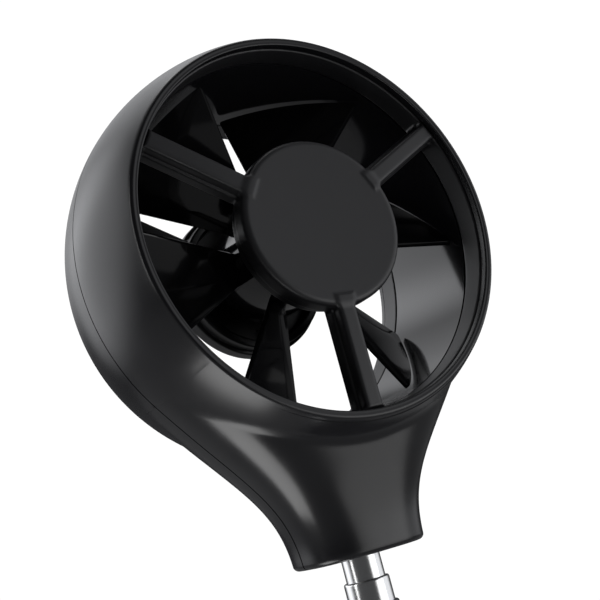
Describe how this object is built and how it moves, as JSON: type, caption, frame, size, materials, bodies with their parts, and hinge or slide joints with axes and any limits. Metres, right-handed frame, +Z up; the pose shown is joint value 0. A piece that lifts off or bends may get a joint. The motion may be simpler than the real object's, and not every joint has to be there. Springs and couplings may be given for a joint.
{
  "type": "vane anemometer probe",
  "caption": "Vane anemometer probe: a ring head with a pitched vane rotor between spoked guards, on a chromed telescopic rod with a plain grip.",
  "frame": {"origin": "middle of the grip's flat lower end, on the rod's axis, with the rod shut", "axes": "+Z up the rod from the grip to the head, -Y the way the head's intake side faces, +X across the ring"},
  "size_m": [0.072, 0.034, 0.2754],
  "materials": {
    "shell": "satin black moulded plastic",
    "guard": "fine-grained black moulded plastic",
    "duct": "polished black plastic",
    "rotor": "glossy black plastic",
    "grip": "fine-textured black plastic",
    "gland": "matt black rubber",
    "chrome": "polished chromed tube",
    "steel": "bright steel",
    "brass": "turned brass",
    "magnet": "dark sintered ferrite",
    "board": "black circuit board",
    "lead": "dark plastic insulation"
  },
  "bodies": {
    "grip": {"grip_front": "grip", "grip_rear": "grip", "end_cap": "shell", "cord_gland": "gland", "grip_collar": "shell", "rod_clamp": "brass", "grip_screw_1": "steel", "grip_screw_2": "steel", "grip_screw_3": "steel", "grip_screw_4": "steel", "tube_4": "chrome"},
    "section_3": {"tube_3": "chrome", "tube_3_plug": "brass"},
    "section_2": {"tube_2": "chrome", "tube_2_plug": "brass"},
    "section_1": {"tube_1": "chrome", "tube_1_plug": "brass", "rod_tip_plug": "brass"},
    "head": {"front_shell": "shell", "rear_shell": "shell", "shell_screw_left": "steel", "shell_screw_right": "steel", "front_guard": "guard", "rear_guard": "guard", "duct_sleeve": "duct", "front_bearing": "brass", "rear_bearing": "brass", "sensor_board": "board", "sensor_lead": "lead", "lead_connector": "lead", "rod_ferrule": "brass"},
    "rotor": {"rotor": "rotor", "rotor_shaft": "steel", "sensor_magnet": "magnet"}
  },
  "joints": [
    {"name": "lower_slide", "type": "slide", "parent": "grip", "child": "section_3", "axis": [0, 0, 1], "range_m": [0, 0.125]},
    {"name": "middle_slide", "type": "slide", "parent": "section_3", "child": "section_2", "axis": [0, 0, 1], "range_m": [0, 0.125]},
    {"name": "upper_slide", "type": "slide", "parent": "section_2", "child": "section_1", "axis": [0, 0, 1], "range_m": [0, 0.125]},
    {"name": "head_turn", "type": "hinge", "parent": "section_1", "child": "head", "pos_m": [0, 0, 0.194], "axis": [0, 0, 1], "range_deg": [-170, 170]},
    {"name": "rotor_spin", "type": "hinge", "parent": "head", "child": "rotor", "pos_m": [0, 0, 0.2394], "axis": [0, 1, 0], "continuous": true}
  ]
}
